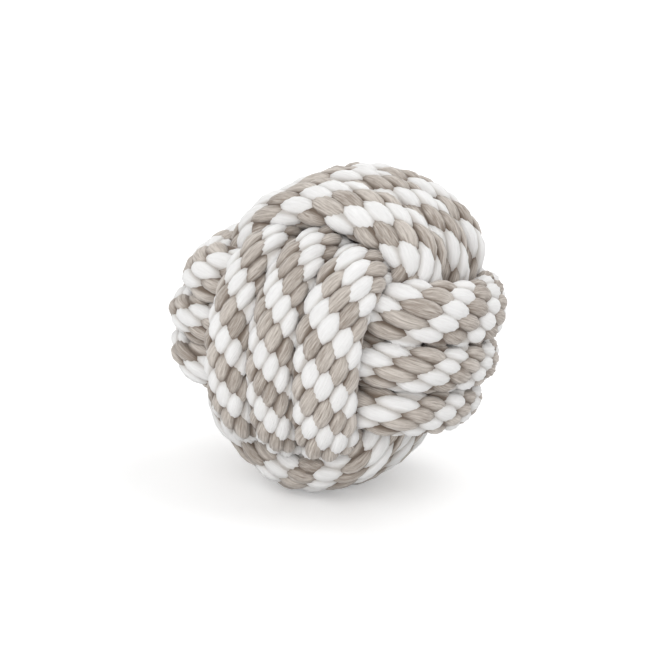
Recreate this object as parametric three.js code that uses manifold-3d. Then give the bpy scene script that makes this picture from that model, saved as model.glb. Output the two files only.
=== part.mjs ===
// Rope toy ball: one length of braided cotton rope tied as a monkey's fist round a core ball.
// Millimetres, +Z up, resting on z = 0, with the origin under the middle of the ball.
// Front is -Y and right is +X.
import * as THREE from "three";
import { mergeVertices } from "three/addons/utils/BufferGeometryUtils.js";
import Module from "manifold-3d";

// Rope, as it lies flattened in the knot.
const ROPE_WIDE = 11; // width of a pass on the outside
const ROPE_THICK = 10; // thickness of any pass, measured towards the core
const BUNCHED = 0.86; // width of a hidden pass as a share of an outside pass
const PINCHED = 0.1; // share of its section that the rope loses half way down a dive

// Knot: three windings at right angles, each over the next one and under the last.
const TURNS = 3; // turns in each winding
const TURN_GAP = 0.9; // between neighbouring turns on the outside
const DRAWN_IN = 0.944; // spacing of hidden passes as a share of the spacing outside
const LAYER_GAP = 1.2; // between an outside pass and the hidden pass under it
const HOLLOW = 0.65; // radius of the outermost hidden turns for each turn of rope spacing
const MIDDLE_RISE = 1.5; // how far a hidden middle turn rides above the outermost ones
const EDGE_RISE = 0.8; // how far the outermost turns stand proud of the middle one outside

// Angles along a turn, in degrees from the middle of an outside pass.
const DIVE_MIDDLE = [30, 75]; // where the middle turn starts and ends its dive
const DIVE_EDGE = [34, 70]; // the same for the outermost turns
const STEP_SPAN = 86; // arc of a hidden pass that carries the rope to its next turn
const STEP_EASE = 0.3; // how softly that sideways step starts and ends
const TAIL = 60; // how far each rope end runs on past its last outside pass

// Slack from tying by hand, in degrees about the middle of the ball.
const SLID_FORWARD = 4.5; // how far the top and the bottom have slid to the front
const SLID_RIGHT = 6; // how far the top has slid to the right
const ROLLED = 4; // how far the ball lies rolled to the right on its lowest turns
const TWISTED = 5; // how much further its back is turned that way, and its front less far

// How the soft ball has settled, in millimetres where the line doesn't say a share.
const SETTLED_RIGHT = 3.6; // how far the top has settled to the right
const SETTLED_LEFT = 1.2; // how far the left side has settled outwards
const LEANED_LEFT = 3; // how far its upper half leans inwards
const DRAWN_LEFT = 0.15; // share by which the left side is drawn in from above and below
const DRAWN_BELOW = 0.22; // share by which the bottom is drawn in from its sides

// Corners where the rope turns from one winding into the next.
const CORNER_LEAVE = 13; // degrees past the outside pass where the rope leaves its winding
const CORNER_REACH = 0.48; // length of the bend's handles as a share of its chord
const CORNER_RISE = 3.2; // how far the bend stands above the turns it crosses

// Rope ends: necked down under a whipping of thread.
const WHIP_LENGTH = 6;
const WHIP_THICK = 0.45;
const WHIP_SETBACK = 1; // bare neck on either side of the whipping
const NECK_LENGTH = WHIP_LENGTH + 2 * WHIP_SETBACK;
const NECK_EASE = 5; // length over which the rope narrows to its neck
const NECK_SHARE = 0.84; // section of the neck as a share of the rope's

const SEAT_GAP = 0.3; // between the rope and what it holds or what binds it
const LEAST_GAP = 0.4; // the rope stays further than this from its other turns
const FOOT_CUT = ROPE_THICK / 10; // depth to which the rope is pressed flat where the ball rests

// Faceting of the solids.
const ROPE_STEP = 5.6;
const ROPE_SIDES = 10;
const WHIP_RINGS = 5;
const CORE_DETAIL = 4;
const ROUTE_STEP = 1; // degrees between points of the route before it is spaced evenly
const CORNER_POINTS = 24;
const GAP_STEP = 1.5;
const GAP_SIDES = 24;

const PITCH = ROPE_WIDE + TURN_GAP;
const INNER_PITCH = PITCH * DRAWN_IN;
const EDGE_TURN = (TURNS - 1) / 2;
const INNER_RADIUS = HOLLOW * TURNS * PITCH;
const OUTER_RADIUS = INNER_RADIUS + MIDDLE_RISE + ROPE_THICK + LAYER_GAP;
const LAST_PASS = 360 * (TURNS - 1) + 180;

// Each winding: the face of its first outside pass, its way of travel there and its first side.
const X = new THREE.Vector3(1, 0, 0);
const Y = new THREE.Vector3(0, 1, 0);
const Z = new THREE.Vector3(0, 0, 1);
const WINDINGS = [
  { face: Y.clone().negate(), travel: Z, side: X.clone().negate() },
  { face: X, travel: Y.clone().negate(), side: Z.clone().negate() },
  { face: Z, travel: X, side: Y },
];

const mix = THREE.MathUtils.lerp;
const rise = THREE.MathUtils.smoothstep;

// How many turns the rope has stepped sideways by this angle.
function stepped(angle) {
  let turns = 0;
  for (let n = 0; n < TURNS - 1; n++) {
    const t = THREE.MathUtils.clamp((angle - 270 - 360 * n) / STEP_SPAN + 0.5, 0, 1);
    turns += t - (STEP_EASE * Math.sin(2 * Math.PI * t)) / (2 * Math.PI);
  }
  return turns;
}

// A point of the rope's middle line, and lift: 1 on the outside, 0 under the other windings.
function routePoint({ face, travel, side }, angle) {
  const turn = EDGE_TURN - stepped(angle);
  const edge = Math.min(Math.abs(turn) / EDGE_TURN, 1);
  const start = mix(DIVE_MIDDLE[0], DIVE_EDGE[0], edge);
  const end = mix(DIVE_MIDDLE[1], DIVE_EDGE[1], edge);
  const fromFace = Math.abs(THREE.MathUtils.euclideanModulo(angle + 90, 180) - 90);
  const lift = 1 - rise(fromFace, start, end);
  const radius = mix(INNER_RADIUS + MIDDLE_RISE * (1 - edge), OUTER_RADIUS + EDGE_RISE * edge, lift);
  const aside = turn * mix(INNER_PITCH, PITCH, lift);
  const reach = Math.sqrt(radius ** 2 - aside ** 2);
  const a = THREE.MathUtils.degToRad(angle);
  const at = new THREE.Vector3()
    .addScaledVector(side, aside)
    .addScaledVector(face, reach * Math.cos(a))
    .addScaledVector(travel, reach * Math.sin(a));
  return { at, lift };
}

// Moves a point of the tied knot to where the slack has let it slide.
function slide(at) {
  const height = at.z / OUTER_RADIUS;
  const forward = THREE.MathUtils.degToRad(SLID_FORWARD * height * Math.abs(height));
  const right = THREE.MathUtils.degToRad(SLID_RIGHT * Math.max(height, 0) ** 2);
  return at.applyAxisAngle(X, forward).applyAxisAngle(Y, right);
}

// Rolls a point to the right about the line from front to back.
function roll(at) {
  return at.applyAxisAngle(Y, THREE.MathUtils.degToRad(ROLLED + (TWISTED * at.y) / OUTER_RADIUS));
}

// Moves a point of the rope's skin to where the soft ball has settled.
function settle(at) {
  const { x, z } = at.clone().divideScalar(OUTER_RADIUS);
  const top = Math.max(z, 0) ** 2;
  const bottom = Math.max(-z, 0) ** 2;
  const left = Math.max(-x, 0) ** 2;
  const inward = (LEANED_LEFT * Math.max(z, 0) - SETTLED_LEFT) * left;
  at.z *= 1 - DRAWN_LEFT * left;
  at.x += SETTLED_RIGHT * top + inward - DRAWN_BELOW * at.x * bottom;
  return at;
}

// The bend over a corner of the ball, from the end of one winding to the start of the next.
function cornerPoints(before, from, to, after) {
  const handle = from.distanceTo(to) * CORNER_REACH;
  const leave = from.clone().sub(before).setLength(handle).add(from);
  const arrive = to.clone().sub(after).setLength(handle).add(to);
  const curve = new THREE.CubicBezierCurve3(from, leave, arrive, to);
  const points = [];
  for (let n = 1; n < CORNER_POINTS; n++) {
    const t = n / CORNER_POINTS;
    const height = OUTER_RADIUS + EDGE_RISE + CORNER_RISE * Math.sin(Math.PI * t) ** 2;
    points.push({ at: curve.getPoint(t).setLength(height), lift: 1 });
  }
  return points;
}

// The whole route, from the rope's start to its end, about the middle of the ball.
const route = [];
WINDINGS.forEach((winding, n) => {
  const first = n === 0 ? -TAIL : -CORNER_LEAVE;
  const last = LAST_PASS + (n === WINDINGS.length - 1 ? TAIL : CORNER_LEAVE);
  const count = Math.round((last - first) / ROUTE_STEP);
  const points = [];
  for (let i = 0; i <= count; i++) points.push(routePoint(winding, mix(first, last, i / count)));
  if (n > 0) {
    const [before, from] = route.slice(-2);
    route.push(...cornerPoints(before.at, from.at, points[0].at, points[1].at));
  }
  route.push(...points);
});

route.forEach(({ at }) => roll(slide(at)));

// The ball rests on the middle one and the back one of its lowest turns, so it leans until both touch.
// A roll moves these turns along themselves, and settling moves their feet sideways, so both keep their height.
const LAST_WINDING = WINDINGS[WINDINGS.length - 1];
const MIDDLE_TURN = Math.floor(EDGE_TURN);
const middleFoot = slide(routePoint(LAST_WINDING, 180 + 360 * MIDDLE_TURN).at);
const backFoot = slide(routePoint(LAST_WINDING, 180 + 360 * (MIDDLE_TURN - 1)).at);
const LEAN = Math.atan2(backFoot.z - middleFoot.z, backFoot.y - middleFoot.y);

// Distance along the rope at each point of the route.
const along = [0];
for (let i = 1; i < route.length; i++) {
  along.push(along[i - 1] + route[i].at.distanceTo(route[i - 1].at));
}
const ROPE_LENGTH = along[along.length - 1];

// The rope's middle and lift at a distance from its start.
function ropeAt(distance) {
  let low = 0;
  let high = along.length - 1;
  while (high - low > 1) {
    const middle = (low + high) >> 1;
    if (along[middle] <= distance) low = middle;
    else high = middle;
  }
  const t = (distance - along[low]) / (along[high] - along[low]);
  const at = route[low].at.clone().lerp(route[high].at, t);
  return { at, lift: mix(route[low].lift, route[high].lift, t) };
}

// The rope's section at a distance from its start: its axes, and its half width and half thickness.
function sectionAt(distance) {
  const { at, lift } = ropeAt(distance);
  const ahead = ropeAt(Math.min(distance + 1, ROPE_LENGTH)).at;
  const behind = ropeAt(Math.max(distance - 1, 0)).at;
  const along = ahead.sub(behind).normalize();
  const out = at.clone().addScaledVector(along, -at.dot(along)).normalize();
  const across = new THREE.Vector3().crossVectors(along, out);
  const toEnd = Math.min(distance, ROPE_LENGTH - distance);
  const neck = mix(NECK_SHARE, 1, rise(toEnd, NECK_LENGTH, NECK_LENGTH + NECK_EASE));
  const squeeze = neck * (1 - PINCHED * 4 * lift * (1 - lift));
  const halfWide = (squeeze * ROPE_WIDE * mix(BUNCHED, 1, lift)) / 2;
  return { at, out, across, halfWide, halfThick: (squeeze * ROPE_THICK) / 2 };
}

// A ring of points round the rope as it has settled, swollen outward by the amount given.
function ringAt(distance, sides, swell = 0) {
  const s = sectionAt(distance);
  const ring = [];
  for (let n = 0; n < sides; n++) {
    const a = (2 * Math.PI * n) / sides;
    const at = s.at
      .clone()
      .addScaledVector(s.across, (s.halfWide + swell) * Math.cos(a))
      .addScaledVector(s.out, (s.halfThick + swell) * Math.sin(a));
    ring.push(settle(at));
  }
  return ring;
}

function ringsBetween(from, to, count, sides, swell) {
  const rings = [];
  for (let n = 0; n <= count; n++) rings.push(ringAt(mix(from, to, n / count), sides, swell));
  return rings;
}

// Faces between consecutive rings. Closed joins the last ring to the first, else the ends are capped.
function skin(rings, closed) {
  const sides = rings[0].length;
  const points = rings.flat();
  const faces = [];
  const steps = closed ? rings.length : rings.length - 1;
  for (let r = 0; r < steps; r++) {
    const here = r * sides;
    const next = ((r + 1) % rings.length) * sides;
    for (let n = 0; n < sides; n++) {
      const m = (n + 1) % sides;
      faces.push(here + n, next + m, here + m, here + n, next + n, next + m);
    }
  }
  if (!closed) {
    const last = (rings.length - 1) * sides;
    for (let n = 1; n < sides - 1; n++) faces.push(0, n, n + 1, last, last + n + 1, last + n);
  }
  const geometry = new THREE.BufferGeometry().setFromPoints(points);
  geometry.setIndex(faces);
  return geometry;
}

// The least clear distance between two turns of the rope, measured on points of its skin.
function leastGap() {
  const count = Math.round(ROPE_LENGTH / GAP_STEP);
  const rings = ringsBetween(0, ROPE_LENGTH, count, GAP_SIDES, 0);
  const middles = rings.map((_, n) => ropeAt((ROPE_LENGTH * n) / count).at);
  const apart = Math.ceil((2 * ROPE_WIDE) / GAP_STEP);
  let least = Infinity;
  for (let i = 0; i < rings.length; i++) {
    for (let j = i + apart; j < rings.length; j++) {
      if (middles[i].distanceTo(middles[j]) > 2 * ROPE_WIDE) continue;
      for (const p of rings[i]) for (const q of rings[j]) least = Math.min(least, p.distanceTo(q));
    }
  }
  return least;
}

const wasm = await Module();
wasm.setup();

function toSolid(geometry) {
  const bare = geometry.clone();
  bare.deleteAttribute("normal");
  bare.deleteAttribute("uv");
  const merged = mergeVertices(bare, 1e-4);
  return new wasm.Manifold(
    new wasm.Mesh({
      numProp: 3,
      vertProperties: new Float32Array(merged.attributes.position.array),
      triVerts: new Uint32Array(merged.index.array),
    }),
  );
}

function toGeometry(solid) {
  const { vertProperties, triVerts } = solid.getMesh();
  const geometry = new THREE.BufferGeometry();
  geometry.setAttribute("position", new THREE.Float32BufferAttribute(vertProperties, 3));
  geometry.setIndex(new THREE.Uint32BufferAttribute(triVerts, 1));
  return geometry;
}

// Rope, leaned over on its two lowest turns.
const neckSteps = Math.ceil(NECK_LENGTH / ROPE_STEP);
const bodySteps = Math.round((ROPE_LENGTH - 2 * NECK_LENGTH) / ROPE_STEP);
const ropeRings = [
  ...ringsBetween(0, NECK_LENGTH, neckSteps, ROPE_SIDES, 0).slice(0, -1),
  ...ringsBetween(NECK_LENGTH, ROPE_LENGTH - NECK_LENGTH, bodySteps, ROPE_SIDES, 0),
  ...ringsBetween(ROPE_LENGTH - NECK_LENGTH, ROPE_LENGTH, neckSteps, ROPE_SIDES, 0).slice(1),
];
const rope = skin(ropeRings, false).rotateX(-LEAN);

// Floor that presses the rope flat.
rope.computeBoundingBox();
const box = rope.boundingBox;
const middle = box.getCenter(new THREE.Vector3());
const size = box.getSize(new THREE.Vector3());
const floorHeight = box.min.z + FOOT_CUT;
const below = new THREE.BoxGeometry(size.x, size.y, size.z);
below.translate(middle.x, middle.y, floorHeight - size.z / 2);
const footed = toGeometry(toSolid(rope).subtract(toSolid(below)));

// Whipping: a sleeve of thread bound round the neck of one rope end.
function whipping(from, to) {
  const inner = ringsBetween(from, to, WHIP_RINGS, ROPE_SIDES, SEAT_GAP);
  const outer = ringsBetween(from, to, WHIP_RINGS, ROPE_SIDES, SEAT_GAP + WHIP_THICK);
  return skin([...outer, ...inner.reverse()], true).rotateX(-LEAN);
}

// The core fills what the rope leaves free round the middle of the ball.
const CORE_RADIUS = Math.min(...ropeRings.flat().map((at) => at.length())) - SEAT_GAP;

const whipFrom = WHIP_SETBACK;
const whipTo = WHIP_SETBACK + WHIP_LENGTH;

const part = new THREE.Group();
part.name = "rope_dog_toy";

// Adds one piece, with the floor at z = 0 and the origin under the middle of the rope.
function add(name, geometry, color, roughness) {
  const mesh = new THREE.Mesh(geometry, new THREE.MeshStandardMaterial({ color, roughness }));
  mesh.name = name;
  mesh.position.set(-middle.x, -middle.y, -floorHeight);
  part.add(mesh);
}

add("rope", footed, "#d8d2ca", 0.95);
add("core_ball", new THREE.IcosahedronGeometry(CORE_RADIUS, CORE_DETAIL).rotateX(-LEAN), "#5b4a3c", 0.7);
add("start_whipping", whipping(whipFrom, whipTo), "#efe9dd", 0.9);
add("end_whipping", whipping(ROPE_LENGTH - whipTo, ROPE_LENGTH - whipFrom), "#efe9dd", 0.9);

const gap = leastGap();
console.log(`rope: ${ROPE_LENGTH.toFixed(0)} mm long, least gap to itself ${gap.toFixed(2)} mm`);
if (gap < LEAST_GAP) throw new Error("two turns of the rope come too close");

export default part;
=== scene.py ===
"""Looks for the rope ball: every stitch of the braid is its own swelling of yarn on the knotted rope.

Sizes of the rope and its route are in millimetres about the middle of the ball, as the knot is tied,
and become metres in the shared frame when a mesh is made.
"""
import math

import bpy
import numpy as np
from mathutils import Matrix, Vector


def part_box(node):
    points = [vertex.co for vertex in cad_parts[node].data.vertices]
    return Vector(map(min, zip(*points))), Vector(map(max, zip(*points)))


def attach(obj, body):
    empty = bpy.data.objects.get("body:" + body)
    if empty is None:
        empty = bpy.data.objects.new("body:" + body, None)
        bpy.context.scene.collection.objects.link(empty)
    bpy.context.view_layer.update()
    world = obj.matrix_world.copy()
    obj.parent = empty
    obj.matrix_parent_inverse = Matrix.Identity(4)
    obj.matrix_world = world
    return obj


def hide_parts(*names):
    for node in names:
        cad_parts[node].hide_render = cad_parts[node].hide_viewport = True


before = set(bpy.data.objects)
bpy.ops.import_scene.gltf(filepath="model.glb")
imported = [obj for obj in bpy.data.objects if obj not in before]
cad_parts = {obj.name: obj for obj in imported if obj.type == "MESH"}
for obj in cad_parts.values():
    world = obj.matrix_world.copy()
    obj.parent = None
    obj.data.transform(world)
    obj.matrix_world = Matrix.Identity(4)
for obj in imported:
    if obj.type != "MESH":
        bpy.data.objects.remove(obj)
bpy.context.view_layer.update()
rng = np.random.default_rng(7)

MM = 0.001

# Route of the rope, the same as the solid that it replaces, with its angles in degrees.
ROPE_WIDE = 11
ROPE_THICK = 10
TURNS = 3  # turns in each winding
TURN_GAP = 0.9  # between neighbouring turns on the outside
DRAWN_IN = 0.944  # spacing of hidden passes as a share of the spacing outside
LAYER_GAP = 1.2  # between an outside pass and the hidden pass under it
HOLLOW = 0.65  # radius of the outermost hidden turns for each turn of rope spacing
MIDDLE_RISE = 1.5  # how far a hidden middle turn rides above the outermost ones
EDGE_RISE = 0.8  # how far the outermost turns stand proud of the middle one outside
DIVE_MIDDLE = (30, 75)  # where the middle turn starts and ends its dive
DIVE_EDGE = (34, 70)  # the same for the outermost turns
STEP_SPAN = 86  # arc of a hidden pass that carries the rope to its next turn
STEP_EASE = 0.3  # how softly that sideways step starts and ends
TAIL = 60  # how far each rope end runs on past its last outside pass
SLID_FORWARD = 4.5  # how far the top and the bottom have slid to the front
SLID_RIGHT = 6  # how far the top has slid to the right
ROLLED = 4  # how far the ball lies rolled to the right on its lowest turns
TWISTED = 5  # how much further its back is turned that way, and its front less far
SETTLED_RIGHT = 3.6  # how far the top has settled to the right
SETTLED_LEFT = 1.2  # how far the left side has settled outwards
LEANED_LEFT = 3  # how far its upper half leans inwards
DRAWN_LEFT = 0.15  # share by which the left side is drawn in from above and below
DRAWN_BELOW = 0.22  # share by which the bottom is drawn in from its sides
CORNER_LEAVE = 13  # past the outside pass, where the rope leaves its winding
CORNER_REACH = 0.48  # length of a corner bend's handles as a share of its chord
CORNER_RISE = 3.2  # how far the bend stands above the turns that it crosses
CORNER_POINTS = 24
WHIP_LENGTH = 6
WHIP_THICK = 0.45
WHIP_SETBACK = 1  # bare neck on either side of a whipping
NECK_LENGTH = WHIP_LENGTH + 2 * WHIP_SETBACK
NECK_EASE = 5  # length over which the rope narrows to its neck
NECK_SHARE = 0.84  # section of the neck as a share of the rope's

PITCH = ROPE_WIDE + TURN_GAP
INNER_PITCH = PITCH * DRAWN_IN
EDGE_TURN = (TURNS - 1) / 2
INNER_RADIUS = HOLLOW * TURNS * PITCH
OUTER_RADIUS = INNER_RADIUS + MIDDLE_RISE + ROPE_THICK + LAYER_GAP
LAST_PASS = 360 * (TURNS - 1) + 180

# The rope as soft as it looks: its turns press against each other.
FULL_WIDE = 12.8
FULL_THICK = 10.9
BUNCHED_WIDE = 10.9  # width of a hidden pass
GIRTH = FULL_WIDE + FULL_THICK
LAST_SPREAD = 3.0  # how far the last turn of a winding, with no turn beyond it, spreads outwards
SPREAD_FROM = 0.4  # turns past the middle one where that spread begins
OPEN_CORNER = (-1, 1, 1)  # the corner of the ball that the slack has opened
OPEN_SPREAD = 13  # how far the ropes round it spread into it
OPEN_REACH = 15  # from the middle of the corner
SWOLLEN = 0.1  # how much the rope swells half way down a dive
PRESS = 0.25  # how softly the rope flattens on the floor

# Braid.
COLUMNS = 10  # stitches round the rope
STITCH_PITCH = 6.4  # along one column
COLUMN_SHIFT = 4 / 10  # of a pitch, from one column to the next
EVEN = 0.04  # evens out the columns round the flattened rope
WANDERS = ((0.25, 83, 0), (0.2, 37, 1.3))  # waves by which the braid turns: radians, span and start
PLACE_SPREAD = 0.12  # how unevenly the stitches lie along the rope
ANGLE_SPREAD = 0.03  # and round it, in radians
PULLED = {"front": 1.0, "side": 1.25, "top": 1.25}  # how far tension has stretched the stitches
PULL_EASE = 41  # points of the route over which the tension changes

# One stitch.
STITCH_LENGTH = 10.8
STITCH_WIDE = 4.5
STITCH_THICK = 5.0
STITCH_LEAN = 1.1  # columns that a stitch crosses on its way
LEAN_LOST = 1.2  # share of the lean that is pulled straight, for each share of stretch
STITCH_DIP = (1.4, 2.0)  # how far its first and its last tip sink into the rope
FIRST_TIP = (1.6, 0.95)  # powers that round its flanks and point its tip, at its first tip
LAST_TIP = (2.1, 0.75)  # and at its last tip
TIP_SHARE = 0.05  # width of a tip as a share of the width of its middle
LENGTH_RANGE = (0.95, 1.05)  # how far stitches differ from each other
SWELL_RANGE = (0.95, 1.06)
LEAN_RANGE = (0.85, 1.15)
PLIES = 12  # ridges of yarn round a stitch
PLY_DEPTH = 0.05  # height of a ridge as a share of the stitch's half width
PLY_TWIST = 0.25  # radians that a ridge turns from the middle of a stitch to its tip
FIBRE_STRETCH = 0.35  # steps of the fibre noise from the middle of a stitch to its tip
FIBRE_SEEDS = 100  # range of the places in that noise where stitches start
FINE = (14, 24)  # rings and sides of a stitch that can be seen
COARSE = (8, 8)  # and of a hidden one
SEEN_LIFT = 0.2  # a stitch on rope under this lift is hidden
SEEN_OUTWARD = -0.35  # and so is one that faces inwards by more than this

# Heart of the braid: a dark tube under the stitches, painted shade that shows between them.
HEART_STEP = 3.0
HEART_SIDES = 14
HEART_DEPTH = 3.0
HEART_GRAIN = 10  # millimetres of rope for each step of the fibre noise

# Whippings of thread round the rope's ends.
THREAD_TURNS = 13
THREAD_STEPS = 20  # points in each turn
THREAD_SIDES = 8
THREAD_TONE = 0.5

# Cotton, as inputs of its shader nodes.
COTTON = {"Roughness": 0.92, "Specular IOR Level": 0.15, "Sheen Weight": 0.3, "Sheen Roughness": 0.5}
COTTON_FIBRES = {"Scale": 6.0, "Detail": 4.0, "Roughness": 0.65}
COTTON_BUMP = {"Strength": 0.6, "Distance": 0.0005}
TONE_SHARE = 0.15  # how much a stitch's own tone counts beside its fibres
TONE_MIDDLE = 0.57  # where dark fibres give way to light ones
CREASE_SHADE_DEPTHS = (0.4, 1.6)  # depths under the rope's skin where the painted shade in a stitch's creases starts and is darkest

# Rubber, as inputs of its shader nodes.
RUBBER_BASE = {"Roughness": 0.7}
RUBBER_BLOOM = {"Scale": 90.0}
RUBBER_GRAIN = {"Scale": 1500.0}
RUBBER_BUMP = {"Strength": 0.3, "Distance": 0.0003}

# Floor and light.
FLOOR_HALF = 3.0  # metres
PAPER = {
    "Base Color": (0.85, 0.85, 0.85, 1),
    "Roughness": 1.0,
    "Specular IOR Level": 0.0,
    "Emission Color": (1, 1, 1, 1),
}
PAPER_GLOW = 0.28  # lifts the paper to white, but lights nothing
ROOM = {"To Min": 0.5, "To Max": 1.0}  # the white room as a light, and as the camera sees it
LAMP_SPREAD = 60  # degrees
LAMPS = {  # strength, and the way that the light travels
    "right": (1.15, (-0.55, -0.65, -1)),
    "left": (0.65, (0.85, -0.3, -1)),
    "front": (1.4, (-0.1, 0.9, -0.45)),
}

# Camera: angles in degrees, and the ball's middle in pixels of the photo.
AZIMUTH = 24.0
ELEVATION = 14.7
ROLL = 5.5
DISTANCE = 0.5  # metres from the middle of the ball
SENSOR_MM = 36
SCALE_PX = 4000  # pixels for each metre at the middle of the ball
IMAGE_PX = 665
MIDDLE_PX = (337.5, 326.3)

# Each winding: the face of its first outside pass, its way of travel there and its first side.
WINDINGS = {
    "front": ((0, -1, 0), (0, 0, 1), (-1, 0, 0)),
    "side": ((1, 0, 0), (0, -1, 0), (0, 0, -1)),
    "top": ((0, 0, 1), (1, 0, 0), (0, 1, 0)),
}


def smooth(x, low, high):
    t = np.clip((x - low) / (high - low), 0, 1)
    return t * t * (3 - 2 * t)


def mix(low, high, t):
    return low + (high - low) * t


def unit(vectors):
    return vectors / np.linalg.norm(vectors, axis=-1, keepdims=True)


def winding_route(face, travel, side, angles):
    """Middle line, lift and spread of one winding: lift is 1 outside and 0 under the other windings."""
    face, travel, side = (np.array(v, float) for v in (face, travel, side))
    stepped = np.zeros_like(angles)
    for n in range(TURNS - 1):
        t = np.clip((angles - 270 - 360 * n) / STEP_SPAN + 0.5, 0, 1)
        stepped += t - STEP_EASE * np.sin(2 * np.pi * t) / (2 * np.pi)
    turn = EDGE_TURN - stepped
    edge = np.minimum(np.abs(turn) / EDGE_TURN, 1)
    start = mix(DIVE_MIDDLE[0], DIVE_EDGE[0], edge)
    end = mix(DIVE_MIDDLE[1], DIVE_EDGE[1], edge)
    from_face = np.abs((angles + 90) % 180 - 90)
    lift = 1 - smooth(from_face, start, end)
    radius = mix(INNER_RADIUS + MIDDLE_RISE * (1 - edge), OUTER_RADIUS + EDGE_RISE * edge, lift)
    aside = turn * mix(INNER_PITCH, PITCH, lift)
    reach = np.sqrt(radius**2 - aside**2)
    a = np.radians(angles)
    ahead, onward = reach * np.cos(a), reach * np.sin(a)
    points = np.outer(aside, side) + np.outer(ahead, face) + np.outer(onward, travel)
    return points, lift, LAST_SPREAD * lift * smooth(-turn, SPREAD_FROM, 1)


def corner_route(before, start, end, after):
    """The bend over a corner of the ball, from one winding to the next."""
    handle = np.linalg.norm(end - start) * CORNER_REACH
    leave = start + unit(start - before) * handle
    arrive = end + unit(end - after) * handle
    t = np.arange(1, CORNER_POINTS)[:, None] / CORNER_POINTS
    points = (
        (1 - t) ** 3 * start
        + 3 * (1 - t) ** 2 * t * leave
        + 3 * (1 - t) * t**2 * arrive
        + t**3 * end
    )
    return unit(points) * (OUTER_RADIUS + EDGE_RISE + CORNER_RISE * np.sin(np.pi * t) ** 2)


def slide(points):
    """Where the slack of a knot tied by hand has let its points slide."""
    height = points[:, 2] / OUTER_RADIUS
    forward = np.radians(SLID_FORWARD * height * np.abs(height))
    right = np.radians(SLID_RIGHT * np.maximum(height, 0) ** 2)
    x, y, z = points.T
    y, z = y * np.cos(forward) - z * np.sin(forward), y * np.sin(forward) + z * np.cos(forward)
    x, z = x * np.cos(right) + z * np.sin(right), z * np.cos(right) - x * np.sin(right)
    return np.stack([x, y, z], axis=1)


def roll(points):
    """The points rolled to the right about the line from front to back, the back further than the front."""
    x, y, z = points.T
    turned = np.radians(ROLLED + TWISTED * y / OUTER_RADIUS)
    x, z = x * np.cos(turned) + z * np.sin(turned), z * np.cos(turned) - x * np.sin(turned)
    return np.stack([x, y, z], axis=1)


def settle(points):
    """Where the soft ball has settled, for points on or under the rope's skin."""
    x, y, z = np.moveaxis(points, -1, 0)
    high = np.maximum(z, 0) / OUTER_RADIUS
    bottom = (np.maximum(-z, 0) / OUTER_RADIUS) ** 2
    left = (np.maximum(-x, 0) / OUTER_RADIUS) ** 2
    inward = (LEANED_LEFT * high - SETTLED_LEFT) * left
    moved = x + SETTLED_RIGHT * high**2 + inward - DRAWN_BELOW * x * bottom
    return np.stack([moved, y, z * (1 - DRAWN_LEFT * left)], axis=-1)


def resting_lean():
    """How far the ball leans to rest on the middle one and the back one of its lowest turns."""
    lowest = 180 + 360 * math.floor(EDGE_TURN)
    feet, _, _ = winding_route(*WINDINGS["top"], np.array([lowest - 360.0, lowest]))
    back, middle = slide(feet)
    return math.atan2(back[2] - middle[2], back[1] - middle[1])


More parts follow.
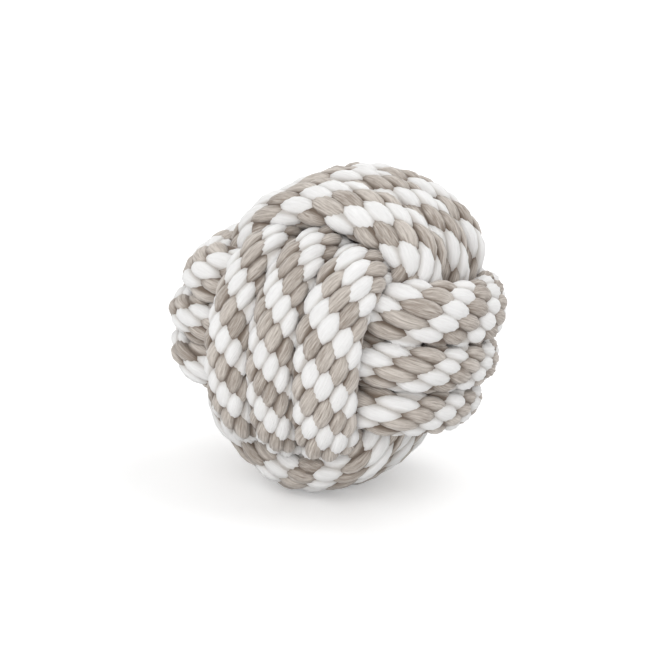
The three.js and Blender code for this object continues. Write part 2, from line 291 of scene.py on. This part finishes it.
class Rope:
    """The rope's middle line, axes and half sizes at any distance along it."""

    def __init__(self):
        points, lift, spread, owner = [], [], [], []
        for n, winding in enumerate(WINDINGS.values()):
            first = -TAIL if n == 0 else -CORNER_LEAVE
            last = LAST_PASS + (TAIL if n == len(WINDINGS) - 1 else CORNER_LEAVE)
            angles = np.linspace(first, last, last - first + 1)
            new, new_lift, new_spread = winding_route(*winding, angles)
            if n:
                bend = corner_route(points[-1][-2], points[-1][-1], new[0], new[1])
                points.append(bend)
                lift.append(np.ones(len(bend)))
                spread.append(np.linspace(spread[-1][-1], new_spread[0], len(bend)))
                owner.append(np.full(len(bend), n))
            points.append(new)
            lift.append(new_lift)
            spread.append(new_spread)
            owner.append(np.full(len(new), n))
        self.points = roll(slide(np.concatenate(points)))
        self.lift = np.concatenate(lift)
        self.spread = np.concatenate(spread)
        self.owner = np.concatenate(owner)
        steps = np.linalg.norm(np.diff(self.points, axis=0), axis=1)
        self.at = np.concatenate([[0], np.cumsum(steps)])
        self.length = self.at[-1]
        self.along = unit(np.gradient(self.points, self.at, axis=0))
        self.out = unit(self.points - np.sum(self.points * self.along, axis=1)[:, None] * self.along)
        self.stretch(steps)
        self.fill_corner()

    def stretch(self, steps):
        """Adds how far each winding is stretched, and the distances along the rope before that."""
        pulled = np.pad(np.array(list(PULLED.values()))[self.owner], PULL_EASE // 2, mode="edge")
        self.pulled = np.convolve(pulled, np.full(PULL_EASE, 1 / PULL_EASE), mode="valid")
        stretched = steps / (self.pulled[1:] + self.pulled[:-1]) * 2
        self.relaxed = np.concatenate([[0], np.cumsum(stretched)])

    def fill_corner(self):
        """Lets the ropes round the open corner spread into it."""
        corner = roll(slide(unit(np.array([OPEN_CORNER], float)) * OUTER_RADIUS))
        aside = np.sum(np.cross(self.along, self.out) * (corner - self.points), axis=1)
        near = np.exp(-np.sum((corner - self.points) ** 2, axis=1) / OPEN_REACH**2)
        self.spread += OPEN_SPREAD * self.lift * near * np.clip(aside / ROPE_WIDE, -1, 1)

    def sample(self, name, distance):
        """One of the rope's tables, read at any distances."""
        table = getattr(self, name)
        if table.ndim == 1:
            return np.interp(distance, self.at, table)
        return np.stack([np.interp(distance, self.at, table[:, i]) for i in range(3)], axis=-1)

    def skin(self, distance, angle, depth):
        """Points at a depth under the rope's skin, with the skin's normal."""
        middle, along, out = (self.sample(n, distance) for n in ("points", "along", "out"))
        across = np.cross(unit(along), out)
        to_end = np.minimum(distance, self.length - distance)
        neck = mix(NECK_SHARE, 1, smooth(to_end, NECK_LENGTH, NECK_LENGTH + NECK_EASE))
        lift = self.sample("lift", distance)
        swell = neck * (1 + SWOLLEN * 4 * lift * (1 - lift))
        spread = self.sample("spread", distance)
        half_wide = swell * (mix(BUNCHED_WIDE, FULL_WIDE, lift) + np.abs(spread)) / 2 - depth
        half_thick = swell * FULL_THICK / 2 - depth
        even = angle + EVEN * np.sin(2 * angle)
        c, s = np.cos(even), np.sin(even)
        aside, outward = spread / 2 + half_wide * c, half_thick * s
        point = middle + across * aside[..., None] + out * outward[..., None]
        normal = across * (half_thick * c)[..., None] + out * (half_wide * s)[..., None]
        return point, unit(normal)


LEAN = np.array(Matrix.Rotation(-resting_lean(), 3, "X"))
MIDDLE = (Vector(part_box("core_ball")[0]) + Vector(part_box("core_ball")[1])) / 2


def to_frame(points):
    """Millimetres about the ball's middle, as tied, to metres in the shared frame, pressed on the floor."""
    placed = settle(points) @ LEAN.T * MM + np.array(MIDDLE)
    soft = PRESS * MM
    placed[..., 2] = soft * np.logaddexp(0, placed[..., 2] / soft)
    return placed


def tube_faces(count, rings, sides):
    """Quads round and along each of count tubes, and a cap on each end."""
    base = np.arange(count)[:, None, None] * rings * sides
    ring = np.arange(rings - 1)[None, :, None] * sides
    here = np.arange(sides)[None, None, :]
    beside = (here + 1) % sides
    start = base + ring
    corners = (start + here, start + beside, start + sides + beside, start + sides + here)
    quads = np.stack(corners, axis=-1).reshape(-1, 4)
    first = base[:, 0] + np.arange(sides)[::-1]
    last = base[:, 0] + np.arange(sides) + (rings - 1) * sides
    return quads.tolist() + first.tolist() + last.tolist()


def make_piece(name, points, faces, attributes, material, node):
    """A new piece from points in millimetres, which rides with the ball and stands for a node."""
    mesh = bpy.data.meshes.new(name)
    mesh.from_pydata(to_frame(points).tolist(), [], faces)
    for label, values in attributes.items():
        kind, field = ("FLOAT_VECTOR", "vector") if values.ndim == 2 else ("FLOAT", "value")
        data = mesh.attributes.new(label, kind, "POINT").data
        data.foreach_set(field, values.astype(np.float32).ravel())
    mesh.materials.append(material)
    mesh.shade_smooth()
    piece = bpy.data.objects.new(name, mesh)
    bpy.context.collection.objects.link(piece)
    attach(piece, "root")
    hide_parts(node)


def set_inputs(node, values):
    for name, value in values.items():
        node.inputs[name].default_value = value


def new_material(name, values):
    """A material with its node tree and its shader, whose inputs are set by name."""
    material = bpy.data.materials.new(name)
    material.use_nodes = True
    tree = material.node_tree
    shader = tree.nodes["Principled BSDF"]
    set_inputs(shader, values)
    return material, tree, shader


def new_node(tree, kind, values):
    node = tree.nodes.new(kind)
    set_inputs(node, values)
    return node


def attribute(tree, name):
    node = tree.nodes.new("ShaderNodeAttribute")
    node.attribute_name = name
    return node


def colour_ramp(tree, dark, light, low, high):
    """A node that goes from a dark colour at low to a light one at high."""
    ramp = tree.nodes.new("ShaderNodeValToRGB")
    first, last = ramp.color_ramp.elements
    first.position, last.position = low, high
    first.color, last.color = (*dark, 1), (*light, 1)
    return ramp


def cotton(name, dark, light, contrast, crease_shade):
    """Soft cotton yarn: fine fibres along each stitch, uneven in colour, with painted shade in its creases.
    """
    material, tree, shader = new_material(name, COTTON)
    fibre = new_node(tree, "ShaderNodeTexNoise", COTTON_FIBRES)
    tree.links.new(attribute(tree, "yarn").outputs["Vector"], fibre.inputs["Vector"])
    blend = tree.nodes.new("ShaderNodeMath")
    blend.operation = "MULTIPLY_ADD"
    blend.inputs[1].default_value = TONE_SHARE
    tree.links.new(attribute(tree, "tone").outputs["Fac"], blend.inputs[0])
    tree.links.new(fibre.outputs["Fac"], blend.inputs[2])
    ramp = colour_ramp(tree, dark, light, TONE_MIDDLE - contrast, TONE_MIDDLE + contrast)
    tree.links.new(blend.outputs[0], ramp.inputs["Fac"])

    # Painted shade: the deeper a point lies under the rope's skin, the nearer its colour goes to the shade
    # colour.
    deep = new_node(tree, "ShaderNodeMapRange", {"From Min": CREASE_SHADE_DEPTHS[0], "From Max": CREASE_SHADE_DEPTHS[1]})
    deep.interpolation_type = "SMOOTHSTEP"
    tree.links.new(attribute(tree, "sunk").outputs["Fac"], deep.inputs["Value"])
    shade = new_node(tree, "ShaderNodeMixRGB", {"Color2": (*crease_shade, 1)})
    tree.links.new(deep.outputs["Result"], shade.inputs["Fac"])
    tree.links.new(ramp.outputs["Color"], shade.inputs["Color1"])
    tree.links.new(shade.outputs["Color"], shader.inputs["Base Color"])

    bump = new_node(tree, "ShaderNodeBump", COTTON_BUMP)
    tree.links.new(fibre.outputs["Fac"], bump.inputs["Height"])
    tree.links.new(bump.outputs["Normal"], shader.inputs["Normal"])
    return material


def rubber(name, dark, light):
    """Matt moulded rubber: a fine grain and a little bloom."""
    material, tree, shader = new_material(name, RUBBER_BASE)
    place = tree.nodes.new("ShaderNodeTexCoord")
    bloom = new_node(tree, "ShaderNodeTexNoise", RUBBER_BLOOM)
    grain = new_node(tree, "ShaderNodeTexNoise", RUBBER_GRAIN)
    ramp = colour_ramp(tree, dark, light, 0, 1)
    bump = new_node(tree, "ShaderNodeBump", RUBBER_BUMP)
    tree.links.new(place.outputs["Object"], bloom.inputs["Vector"])
    tree.links.new(place.outputs["Object"], grain.inputs["Vector"])
    tree.links.new(bloom.outputs["Fac"], ramp.inputs["Fac"])
    tree.links.new(ramp.outputs["Color"], shader.inputs["Base Color"])
    tree.links.new(grain.outputs["Fac"], bump.inputs["Height"])
    tree.links.new(bump.outputs["Normal"], shader.inputs["Normal"])
    return material


# The last colour of each yarn is painted shade for the creases between its stitches.
YARNS = {
    "white": cotton("white_cotton", (0.81, 0.80, 0.79), (0.90, 0.895, 0.89), 0.2, (0.58, 0.55, 0.52)),
    "taupe": cotton("taupe_cotton", (0.33, 0.28, 0.24), (0.65, 0.597, 0.545), 0.15, (0.17, 0.13, 0.10)),
}
# All dark: painted shade in the gaps between the stitches.
HEART_SHADE = cotton("rope_heart_painted_shade", (0.07, 0.05, 0.035), (0.12, 0.09, 0.07), 0.2, (0.07, 0.05, 0.035))
THREAD = cotton("waxed_thread", (0.66, 0.60, 0.50), (0.84, 0.80, 0.72), 0.2, (0.66, 0.60, 0.50))
RUBBER = rubber("core_rubber", (0.030, 0.024, 0.020), (0.050, 0.040, 0.032))


def lay_stitches(rope):
    """Distance, angle, colour and winding of every stitch, and whether it can be seen."""
    per_column = int(rope.relaxed[-1] / STITCH_PITCH)
    column, place = np.meshgrid(np.arange(COLUMNS), np.arange(per_column), indexing="ij")
    distance = (place + 0.5 + (column * COLUMN_SHIFT) % 1) * STITCH_PITCH
    distance = np.interp(distance, rope.relaxed, rope.at)
    colour = (place + np.floor(column * COLUMN_SHIFT).astype(int)) % 2
    inside = (distance > STITCH_LENGTH / 2) & (distance < rope.length - STITCH_LENGTH / 2)
    column, distance, colour = column[inside], distance[inside], colour[inside]
    distance = distance + rng.normal(0, PLACE_SPREAD, len(distance))
    wander = sum(most * np.sin(distance / span + start) for most, span, start in WANDERS)
    uneven = rng.normal(0, ANGLE_SPREAD, len(distance))
    angle = column * 2 * np.pi / COLUMNS - np.pi / 2 + wander + uneven
    point, facing = rope.skin(distance, angle, np.zeros_like(distance))
    outward = np.sum(facing * point, axis=1) / np.linalg.norm(point, axis=1)
    seen = (rope.sample("lift", distance) > SEEN_LIFT) & (outward > SEEN_OUTWARD)
    owner = np.rint(rope.sample("owner", distance)).astype(int)
    return distance, angle, colour, owner, seen


def stitches(rope, distance, angle, rings, sides):
    """Leaf-shaped swellings of yarn, one for each distance and angle."""
    count = len(distance)
    v = np.sin(np.linspace(-1, 1, rings) * np.pi / 2)[None, :]
    pulled = rope.sample("pulled", distance)[:, None]
    spread = np.abs(rope.sample("spread", distance))[:, None]
    length = STITCH_LENGTH * pulled * rng.uniform(*LENGTH_RANGE, (count, 1))
    swell = rng.uniform(*SWELL_RANGE, (count, 1)) * (1 + spread / GIRTH)
    straight = 1 - LEAN_LOST * (pulled - 1)
    lean = STITCH_LEAN * straight * rng.uniform(*LEAN_RANGE, (count, 1)) * 2 * np.pi / COLUMNS
    s = distance[:, None] + v * length / 2
    a = angle[:, None] - v * lean / 2
    depth = STITCH_THICK / 2 + np.where(v < 0, *STITCH_DIP) * v**2
    middle, normal = rope.skin(s, a, depth)
    forward = unit(np.gradient(middle, axis=1))
    beside = unit(np.cross(normal, forward))
    upward = np.cross(forward, beside)

    flank, point = (np.where(v < 0, *pair) for pair in zip(FIRST_TIP, LAST_TIP))
    profile = swell * mix(TIP_SHARE, 1, (1 - np.abs(v) ** flank) ** point)
    turn = np.linspace(0, 2 * np.pi, sides, endpoint=False)[None, None, :]
    phase = rng.uniform(0, 2 * np.pi, (count, 1, 1))
    ridge = 1 + PLY_DEPTH * np.cos(PLIES * turn + phase)
    half_wide = (STITCH_WIDE / 2 * profile)[..., None] * ridge
    half_thick = (STITCH_THICK / 2 * profile)[..., None] * ridge
    twist = turn + PLY_TWIST * v[..., None]
    points = (
        middle[:, :, None, :]
        + beside[:, :, None, :] * (half_wide * np.cos(twist))[..., None]
        + upward[:, :, None, :] * (half_thick * np.sin(twist))[..., None]
    )

    shape = points.shape[:3]
    tone = np.broadcast_to(rng.uniform(0, 1, (count, 1, 1)), shape)
    # How deep each point lies under the rope's skin, which sets the painted shade in the creases.
    sunk = depth[..., None] - half_thick * np.sin(twist)
    seed = rng.uniform(0, FIBRE_SEEDS, (count, 1, 1))
    yarn = (np.cos(turn), np.sin(turn), seed + FIBRE_STRETCH * v[..., None])
    yarn = np.stack([np.broadcast_to(part, shape) for part in yarn], axis=-1)
    attributes = {"tone": tone.ravel(), "sunk": sunk.ravel(), "yarn": yarn.reshape(-1, 3)}
    return points.reshape(-1, 3), tube_faces(count, rings, sides), attributes


def make_yarn(rope):
    """The rope's stitches, as one piece for each winding and colour."""
    distance, angle, colour, owner, seen = lay_stitches(rope)
    for n, winding in enumerate(WINDINGS):
        for which, (shade, material) in enumerate(YARNS.items()):
            points, faces, attributes = [], [], []
            for fine, detail in ((True, FINE), (False, COARSE)):
                pick = (owner == n) & (colour == which) & (seen == fine)
                new_points, new_faces, new_values = stitches(rope, distance[pick], angle[pick], *detail)
                shift = sum(len(p) for p in points)
                points.append(new_points)
                faces += [[i + shift for i in face] for face in new_faces]
                attributes.append(new_values)
            make_piece(
                f"{winding}_turns_{shade}_yarn",
                np.concatenate(points),
                faces,
                {label: np.concatenate([a[label] for a in attributes]) for label in attributes[0]},
                material,
                "rope",
            )


def make_heart(rope):
    """Heart of the braid: a dark tube under the stitches, painted shade that shows between them."""
    distance = np.linspace(0, rope.length, int(rope.length / HEART_STEP))
    angle = np.linspace(0, 2 * np.pi, HEART_SIDES, endpoint=False)
    distance, angle = np.meshgrid(distance, angle, indexing="ij")
    points, _ = rope.skin(distance, angle, np.full_like(distance, HEART_DEPTH))
    yarn = np.stack([np.cos(angle), np.sin(angle), distance / HEART_GRAIN], axis=-1)
    make_piece(
        "rope_heart_painted_shade",
        points.reshape(-1, 3),
        tube_faces(1, *distance.shape),
        {"tone": np.zeros(distance.size), "yarn": yarn.reshape(-1, 3)},
        HEART_SHADE,
        "rope",
    )


def make_whipping(rope, node, first):
    """Thread wound tight round an end of the rope, from its first turn on."""
    t = np.linspace(0, 1, THREAD_TURNS * THREAD_STEPS)
    wound = 2 * np.pi * THREAD_TURNS * t
    middle, normal = rope.skin(first + WHIP_LENGTH * t, wound, np.full_like(t, -WHIP_THICK / 2))
    beside = unit(np.cross(normal, np.gradient(middle, axis=0)))
    turn = np.linspace(0, 2 * np.pi, THREAD_SIDES, endpoint=False)
    c, s = np.cos(turn)[None, :, None], np.sin(turn)[None, :, None]
    points = middle[:, None] + WHIP_THICK / 2 * (normal[:, None] * c + beside[:, None] * s)
    shape = points.shape[:2]
    yarn = (c[..., 0], s[..., 0], wound[:, None])
    yarn = np.stack([np.broadcast_to(part, shape) for part in yarn], axis=-1)
    make_piece(
        f"{node}_thread",
        points.reshape(-1, 3),
        tube_faces(1, *shape),
        {"tone": np.full(points.size // 3, THREAD_TONE), "yarn": yarn.reshape(-1, 3)},
        THREAD,
        node,
    )


rope = Rope()
make_yarn(rope)
make_heart(rope)
make_whipping(rope, "start_whipping", WHIP_SETBACK)
make_whipping(rope, "end_whipping", rope.length - WHIP_SETBACK - WHIP_LENGTH)

core = bpy.data.objects["core_ball"]
core.data.materials.clear()
core.data.materials.append(RUBBER)


def in_view(tree):
    """1 for a ray from the camera, straight or by way of a shiny or a clear surface, and 0 for light."""
    path = tree.nodes.new("ShaderNodeLightPath")
    total = path.outputs["Is Camera Ray"]
    for kind in ("Is Glossy Ray", "Is Transmission Ray"):
        add = tree.nodes.new("ShaderNodeMath")
        add.use_clamp = True
        tree.links.new(total, add.inputs[0])
        tree.links.new(path.outputs[kind], add.inputs[1])
        total = add.outputs[0]
    return total


# Floor: white paper that keeps the ball's shadow.
floor_mesh = bpy.data.meshes.new("floor")
floor_corners = [(x * FLOOR_HALF, y * FLOOR_HALF, 0) for x, y in ((-1, -1), (1, -1), (1, 1), (-1, 1))]
floor_mesh.from_pydata(floor_corners, [], [(0, 1, 2, 3)])
floor = bpy.data.objects.new("floor", floor_mesh)
bpy.context.collection.objects.link(floor)
paper, tree, shader = new_material("floor_paper", PAPER)
glow = tree.nodes.new("ShaderNodeMath")
glow.operation = "MULTIPLY"
glow.inputs[1].default_value = PAPER_GLOW
tree.links.new(in_view(tree), glow.inputs[0])
tree.links.new(glow.outputs[0], shader.inputs["Emission Strength"])
floor_mesh.materials.append(paper)

# Light: a white room, and broad lamps from the right, the left and the front.
world = bpy.data.worlds.new("studio")
bpy.context.scene.world = world
world.use_nodes = True
tree = world.node_tree
background = tree.nodes["Background"]
background.inputs["Color"].default_value = (1, 1, 1, 1)
level = new_node(tree, "ShaderNodeMapRange", ROOM)
tree.links.new(in_view(tree), level.inputs["Value"])
tree.links.new(level.outputs["Result"], background.inputs["Strength"])
for name, (strength, towards) in LAMPS.items():
    sun = bpy.data.lights.new(name, "SUN")
    sun.energy = strength
    sun.angle = math.radians(LAMP_SPREAD)
    holder = bpy.data.objects.new(name, sun)
    bpy.context.collection.objects.link(holder)
    holder.rotation_euler = Vector(towards).to_track_quat("-Z", "Y").to_euler()

# Camera.
a, e = math.radians(AZIMUTH), math.radians(ELEVATION)
back = Vector((math.sin(a) * math.cos(e), -math.cos(a) * math.cos(e), math.sin(e)))
camera_data = bpy.data.cameras.new("camera")
camera = bpy.data.objects.new("camera", camera_data)
bpy.context.collection.objects.link(camera)
camera.location = MIDDLE + back * DISTANCE
turned = (-back).to_track_quat("-Z", "Y").to_matrix() @ Matrix.Rotation(math.radians(ROLL), 3, "Z")
camera.rotation_euler = turned.to_euler()
camera_data.sensor_width = SENSOR_MM
camera_data.lens = SCALE_PX * DISTANCE / IMAGE_PX * camera_data.sensor_width
camera_data.shift_x = (IMAGE_PX / 2 - MIDDLE_PX[0]) / IMAGE_PX
camera_data.shift_y = (MIDDLE_PX[1] - IMAGE_PX / 2) / IMAGE_PX
bpy.context.scene.camera = camera
bpy.context.scene.view_settings.view_transform = "Standard"
